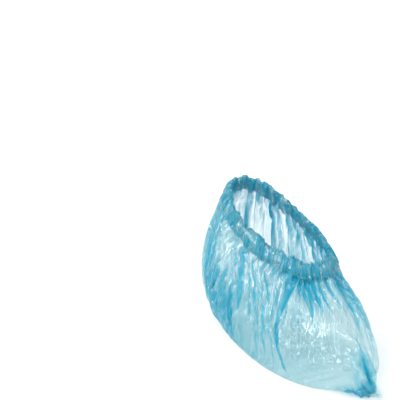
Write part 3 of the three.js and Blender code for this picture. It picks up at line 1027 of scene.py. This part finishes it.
# How thick the hem looks: its layers, the steepest slant that counts, how much the crumples
# change them, and between which shares.
HEM_SHEET = {"layers": 3.6, "least_slant": 0.35, "crumpled": 0.8, "range": (0.25, 2)}


def hem_frame(bearing):
    """At each bearing: the middle of the bag's top edge, the way out and the way up the film."""
    edge = loft_row(bearing, 0)
    up = unit(edge - loft_row(bearing, HEM_RUN))
    out = loft(bearing, [0])[1][0]
    return edge - out * WALL / 2, out, up


def edge_wave(turns, wave, draw):
    """An uneven edge round the hem."""
    return wave["height"] * noise(turns, np.zeros_like(turns), wave["waves"], 1, draw)


def hem_tube(bearing, over):
    """The casing before it is gathered, from its inner edge over the top to its outer one."""
    origin, out, up = hem_frame(bearing)
    turns = bearing / 360
    angle = np.pi * (1 - over)
    sideways, upright = np.cos(angle), np.sin(angle)
    reach = HEM["half"] * np.sign(sideways) * np.abs(sideways) ** HEM["side_square"]
    rise = HEM["bottom"] + (HEM["top"] - HEM["bottom"]) * upright ** HEM["top_square"]
    rise = rise + edge_wave(turns, FRILL, DRAWS["frill"]) * upright ** FRILL["keep"]
    low = (1 - upright) ** LOWER_WAVE["keep"]
    rise = rise + edge_wave(turns, LOWER_WAVE, DRAWS["hem_wave"]) * low
    return origin + out * reach[..., None] + up * rise[..., None]


def make_hem_casing(material):
    """The film folded over at the opening, in pleats round the elastic."""
    bearing = even_bearings(HEM_COLUMNS)
    over = np.linspace(0, 1, HEM_ROWS)[:, None]
    turns = bearing / 360
    base = hem_tube(bearing, over)
    normal = grid_normals(base)
    pleats = relief(turns, over * PLEAT_LEVELS, PLEATS, DRAWS["pleats"])
    start = base + pleats[..., None] * normal
    fullness = np.full(base.shape[:2], HEM_CASING_FULLNESS)
    grid = settle(start, base, fullness, base, normal, HEM_LIMITS, HEM_STEPS)
    crumples = relief(turns, over * HEM_CRUMPLE_LEVELS, HEM_CRUMPLES, DRAWS["hem_crumples"])
    uneven = np.clip(1 + HEM_SHEET["crumpled"] * crumples, *HEM_SHEET["range"])
    slant = slant_layers(grid, normal, HEM_SHEET["least_slant"])
    layers = {"gathered": HEM_SHEET["layers"] * slant * uneven}
    return film_sheet("gathered_hem", grid, FILM, layers, down_and_round(grid), material)


# ---------------------------------------------------------------- trees of geometry nodes

def new_tree(name, sizes):
    """A tree with a geometry input and output, and named number inputs with their defaults."""
    tree = bpy.data.node_groups.new(name, "GeometryNodeTree")
    face = tree.interface
    face.new_socket("Geometry", in_out="INPUT", socket_type="NodeSocketGeometry")
    face.new_socket("Geometry", in_out="OUTPUT", socket_type="NodeSocketGeometry")
    for size, default in sizes.items():
        kind = "NodeSocketInt" if isinstance(default, int) else "NodeSocketFloat"
        face.new_socket(size, in_out="INPUT", socket_type=kind).default_value = default
    return tree, tree.nodes.new("NodeGroupInput").outputs


def end_tree(tree, geometry, material):
    """Ends a tree with plain geometry in a material."""
    solid = add_node(tree, "GeometryNodeRealizeInstances", {"Geometry": geometry})[0]
    done = add_node(tree, "GeometryNodeSetMaterial", {"Geometry": solid, "Material": material})[0]
    add_node(tree, "NodeGroupOutput", {"Geometry": done})
    return tree


def rounded(tree, geometry):
    """The same geometry, shaded smooth."""
    return add_node(tree, "GeometryNodeSetShadeSmooth", {"Geometry": geometry})[0]


def vectors_named(tree, name):
    """The vectors of that name on the points that a tree works on."""
    return add_node(
        tree, "GeometryNodeInputNamedAttribute", {"Name": name}, data_type="FLOAT_VECTOR"
    )[0]


def make_from_tree(name, tree, sizes, points, edges, layers):
    """A plain mesh from a tree that works on a line of points with named vectors on them."""
    line = bpy.data.meshes.new(name + "_line")
    line.from_pydata((points * MM).tolist(), edges, [])
    for layer, vectors in layers.items():
        store(line.attributes.new(layer, "FLOAT_VECTOR", "POINT"), "vector", vectors)
    maker = make_object(name + "_maker", line)
    modifier = maker.modifiers.new("make", "NODES")
    modifier.node_group = tree
    for item in tree.interface.items_tree:
        if item.item_type == "SOCKET" and item.in_out == "INPUT" and item.name in sizes:
            modifier[item.identifier] = sizes[item.name]
    graph = bpy.context.evaluated_depsgraph_get()
    mesh = bpy.data.meshes.new_from_object(maker.evaluated_get(graph), depsgraph=graph)
    mesh.name = name
    maker.modifiers.remove(modifier)
    bpy.data.objects.remove(maker)
    return make_object(name, mesh)


# ---------------------------------------------------------------- the elastic

# Round threads side by side, up the film from its top edge: their lowest point, how many
# there are, how thick they are, and the columns and sides of their meshes.
ELASTIC = {"low": 2.2, "threads": 5, "thread": 1.0, "columns": 240, "sides": 8}


def elastic_tree(sizes, material):
    """Copies of a closed line, each moved up by one thread and made round."""
    tree, entry = new_tree("elastic threads", sizes)
    line = add_node(tree, "GeometryNodeMeshToCurve", {"Mesh": entry["Geometry"]})[0]
    copies = add_node(
        tree, "GeometryNodeDuplicateElements", {"Geometry": line, "Amount": entry["Threads"]},
        domain="SPLINE",
    )
    rise = maths(tree, "MULTIPLY", copies["Duplicate Index"], entry["Thread Diameter"])
    shift = add_node(
        tree, "ShaderNodeVectorMath", {0: vectors_named(tree, "up"), "Scale": rise},
        operation="SCALE",
    )[0]
    moved = add_node(
        tree, "GeometryNodeSetPosition", {"Geometry": copies["Geometry"], "Offset": shift}
    )[0]
    radius = maths(tree, "MULTIPLY", entry["Thread Diameter"], 0.5)
    section = add_node(
        tree, "GeometryNodeCurvePrimitiveCircle", {"Resolution": entry["Sides"], "Radius": radius}
    )[0]
    cord = add_node(tree, "GeometryNodeCurveToMesh", {"Curve": moved, "Profile Curve": section})[0]
    return end_tree(tree, rounded(tree, cord), material)


def make_elastic_band(material):
    """The threads inside the hem."""
    count = ELASTIC["columns"]
    origin, _, up = hem_frame(even_bearings(count))
    points = origin + up * (ELASTIC["low"] + ELASTIC["thread"] / 2)
    edges = [(i, (i + 1) % count) for i in range(count)]
    sizes = {
        "Threads": ELASTIC["threads"],
        "Thread Diameter": ELASTIC["thread"] * MM,
        "Sides": ELASTIC["sides"],
    }
    tree = elastic_tree(sizes, material)
    return make_from_tree("elastic_threads", tree, sizes, points, edges, {"up": up})


# ---------------------------------------------------------------- the welded seams

# A flange's bearing, the height of its free edge's lowest point, how far its film ruffles,
# and from the top down: the level, how far the flange stands out there, and how far its free
# edge curls to the right.
TOE_SEAM = {
    "seam": 0, "lift": 5, "ruffle": 2.6,
    "widths": ((2.5, 2.0, 0), (3, 6, 1), (3.5, 7, 2), (4, 7, 3), (4.5, 10, 5), (5, 17, 8)),
}
HEEL_SEAM = {
    "seam": 180, "lift": 1, "ruffle": 1.2,
    "widths": (
        (0.5, 2.5, 0), (1, 3, 0), (2, 3.5, -1), (3, 4, -1), (4, 4.5, -2), (4.5, 6, -2), (5, 9, -3),
    ),
}
SEAM_ROWS_PER_LEVEL = 26
SEAM_COLUMNS = 18
SEAM_FILM = 0.6  # two layers of film, welded
SEAM_CURL = 1.5  # the exponent that keeps the curl to the free edge
SEAM_LAYERS = (1.6, 1.2)  # how thick the flange looks, and what its root adds to that
SEAM_MAP = (12, 120)  # how much of the film's map the flange takes, across and down
# The ruffles, as in the tables of relief, how many levels down the flange stand for a turn of
# noise, and how many levels of noise its width stands for.
RUFFLES = ((31, 2.0, 1.0), (67, 4.0, 0.5))
RUFFLE_TURN = 7
RUFFLE_WIDTH = 1.2
# The weld: how far it lies from the film, and its crimps' sizes and spacing.
WELD = {"inset": 1.6, "length": 2.0, "width": 0.55, "height": 0.3, "spacing": 1.5}


def seam_grid(seam, lift, ruffle, widths):
    """The flange's places, down the seam and out from the film."""
    stops, reaches, curls = np.array(widths, float).T
    rows = int((SOLE_LEVEL - stops[0]) * SEAM_ROWS_PER_LEVEL)
    levels = np.linspace(stops[0], SOLE_LEVEL, rows)
    base, normal = loft(np.array([float(seam)]), levels)
    inner, out = base[:, 0].copy(), normal[:, 0]
    down = at_floor(levels)
    inner[:, 2] += FLOOR * down
    ahead = np.array([0, np.sign(out[0, 1]), 0])
    out = unit(out * (1 - down)[:, None] + ahead * down[:, None])
    outer = inner + out * np.interp(levels, stops, reaches)[:, None]
    outer[:, 2] = np.maximum(outer[:, 2], lift + 1 - (1 + WALL) * down)
    share = np.linspace(0, 1, SEAM_COLUMNS)[None, :]
    grid = inner[:, None] * (1 - share[..., None]) + outer[:, None] * share[..., None]
    turns = (levels[:, None] - levels[0]) / RUFFLE_TURN
    ruffles = ruffle * relief(turns, share * RUFFLE_WIDTH, RUFFLES, DRAWS["ruffles"] + seam)
    curl = np.interp(levels, stops, curls)[:, None]
    grid[..., 0] = curl * share**SEAM_CURL + ruffles * share
    return grid


def weld_tree(sizes, material):
    """Crimps: a small rounded bar on each point of a line, across the weld and proud of it."""
    tree, entry = new_tree("weld crimps", sizes)
    bar = add_node(
        tree, "GeometryNodeMeshUVSphere", {"Segments": 8, "Rings": 6, "Radius": 0.5}
    )[0]
    turned = add_node(
        tree, "FunctionNodeAxesToRotation",
        {
            "Primary Axis": vectors_named(tree, "side"),
            "Secondary Axis": vectors_named(tree, "across"),
        },
        primary_axis="Z", secondary_axis="X",
    )[0]
    size = add_node(
        tree, "ShaderNodeCombineXYZ", {0: entry["Length"], 1: entry["Width"], 2: entry["Height"]}
    )[0]
    points = add_node(tree, "GeometryNodeMeshToPoints", {"Mesh": entry["Geometry"]})[0]
    bars = add_node(
        tree, "GeometryNodeInstanceOnPoints",
        {"Points": points, "Instance": rounded(tree, bar), "Rotation": turned, "Scale": size},
    )[0]
    return end_tree(tree, bars, material)


def weld_line(grid, normal):
    """Even stops down the weld, a little out from the film, with the ways across and out."""
    reach = np.linalg.norm(grid[:, -1] - grid[:, 0], axis=1)
    column = WELD["inset"] / reach * (SEAM_COLUMNS - 1)
    column = np.clip(column, 1, SEAM_COLUMNS - 2).astype(int)
    row = np.arange(len(grid))
    middle = grid[row, column]
    gone = np.concatenate([[0], np.cumsum(np.linalg.norm(np.diff(middle, axis=0), axis=1))])
    stops = np.arange(WELD["spacing"], gone[-1], WELD["spacing"])
    outward = grid[row, column + 1] - grid[row, column - 1]
    points, across, side = (
        np.stack([np.interp(stops, gone, axis) for axis in vectors.T], axis=-1)
        for vectors in (middle, outward, normal[row, column])
    )
    return points, unit(across), unit(side)


def make_seam(name, seam, material):
    """A flange, and the crimps on both faces of its weld."""
    grid = seam_grid(**seam)
    normal = grid_normals(grid, closed=False)
    across, down = np.linspace(0, 1, SEAM_COLUMNS), np.linspace(0, 1, len(grid))[:, None]
    thick, at_root = SEAM_LAYERS
    layers = {"gathered": thick + at_root * (1 - across) ** 2 + 0 * down}
    places = np.stack(np.broadcast_arrays(across * SEAM_MAP[0], down * SEAM_MAP[1]), axis=-1) * MM
    middle = grid + normal * SEAM_FILM / 2
    piece = film_sheet(name, middle, SEAM_FILM, layers, places, material, closed=False)

    points, across, side = weld_line(grid, normal)
    both = np.concatenate([points + side * SEAM_FILM / 2, points - side * SEAM_FILM / 2])
    sizes = {size.capitalize(): WELD[size] * MM for size in ("length", "width", "height")}
    ways = {"across": np.tile(across, (2, 1)), "side": np.tile(side, (2, 1))}
    tree = weld_tree(sizes, material)
    crimps = make_from_tree(name + "_crimps", tree, sizes, both, [], ways)
    return piece, crimps


# ---------------------------------------------------------------- the stage

# Where the camera stands, in degrees and metres, and how far to the side and up it is moved.
VIEW = {"azimuth": -26.5, "elevation": 21.0, "distance": 1.700, "right": -0.0932, "up": 0.1396}
LENS = 146.4


def view_axes(azimuth, elevation):
    """The way from the cover to whatever faces it, and the ways right and up seen from there."""
    a, e = math.radians(azimuth), math.radians(elevation)
    back = Vector((math.sin(a) * math.cos(e), -math.cos(a) * math.cos(e), math.sin(e)))
    right = Vector((math.cos(a), math.sin(a), 0))
    return back, right, back.cross(right)


def set_camera():
    """A camera in front of the cover's left side, which looks down at it."""
    back, right, up = view_axes(VIEW["azimuth"], VIEW["elevation"])
    data = bpy.data.cameras.new("camera")
    data.lens = LENS
    camera = bpy.data.objects.new("camera", data)
    place = back * VIEW["distance"] + right * VIEW["right"] + up * VIEW["up"]
    turned = Matrix((right, up, back)).transposed().to_4x4()
    camera.matrix_world = Matrix.Translation(place) @ turned
    bpy.context.scene.collection.objects.link(camera)
    bpy.context.scene.camera = camera


# Lamps far away: the azimuth and elevation that each shines from, how wide it looks in
# degrees, and how bright it is, in watts for each square metre.
LAMPS = {
    "key": (-70, 55, 45, 0.88),
    "fill": (60, 40, 50, 0.35),
    "glint_left": (-90, 45, 14, 0.50),
    "glint_front": (-50, 27, 10, 0.55),
    "glint_high": (-60, 60, 7, 0.26),
    "glint_back": (-127, 24, 10, 0.42),
    "glint_low": (-140, 9, 10, 0.42),
    "glint_toe": (-12, 14, 10, 0.42),
    "glint_side": (80, 15, 10, 0.42),
    "glint_behind": (-138, 56, 8, 0.28),
    "glint_right": (122, 38, 10, 0.36),
    "glint_far": (40, 60, 6, 0.20),
}
SKY = 0.54  # the brightness of the light from all round
FLOOR_SIDE = 6.0  # metres from the middle to each side
FLOOR_GAP = 0.2 * MM  # keeps the sole off the floor


def set_lights():
    """The lamps, and even white light from all round."""
    for name, (azimuth, elevation, spread, brightness) in LAMPS.items():
        back, right, up = view_axes(azimuth, elevation)
        data = bpy.data.lights.new(name, "SUN")
        data.angle = math.radians(spread)
        data.energy = brightness
        lamp = bpy.data.objects.new(name, data)
        lamp.matrix_world = Matrix((right, up, back)).transposed().to_4x4()
        bpy.context.scene.collection.objects.link(lamp)
    world = bpy.data.worlds.new("studio")
    world.use_nodes = True
    sky = world.node_tree.nodes["Background"]
    sky.inputs["Color"].default_value = WHITE
    sky.inputs["Strength"].default_value = SKY
    bpy.context.scene.world = world


def make_floor():
    """A white floor just under the cover."""
    side, height = FLOOR_SIDE, FLOOR * MM - FLOOR_GAP
    ends = ((-side, -side), (side, -side), (side, side), (-side, side))
    corners = [(x, y, height) for x, y in ends]
    mesh = bpy.data.meshes.new("floor")
    mesh.from_pydata(corners, [], [(0, 1, 2, 3)])
    material, tree = new_material("white floor")
    shader = tree.nodes["Principled BSDF"]
    shader.inputs["Base Color"].default_value = (0.92, 0.92, 0.92, 1)
    shader.inputs["Roughness"].default_value = 0.9
    make_object("floor", mesh, material)


# ---------------------------------------------------------------- the cover

set_camera()
set_lights()
make_floor()

scene = bpy.context.scene
scene.view_settings.view_transform = "Standard"
scene.cycles.transparent_max_bounces = 64

film, hem_film, weld_film = (
    film_material(name, **finish) for name, finish in FILM_FINISHES.items()
)

thin_film = make_film_body(film)
gathered_hem = make_hem_casing(hem_film)
elastic_threads = make_elastic_band(elastic_material())
toe_weld, toe_crimps = make_seam("toe_weld", TOE_SEAM, weld_film)
heel_weld, heel_crimps = make_seam("heel_weld", HEEL_SEAM, weld_film)

for piece, slot, nodes in (
    (thin_film, "film", ["film_body"]),
    (gathered_hem, "hem_film", ["hem_casing"]),
    (elastic_threads, "elastic", ["elastic_band"]),
    (toe_weld, "weld", ["toe_seam"]),
    (toe_crimps, "weld", []),
    (heel_weld, "weld", ["heel_seam"]),
    (heel_crimps, "weld", []),
):
    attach(piece, "root")
    if nodes:
        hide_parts(*nodes)
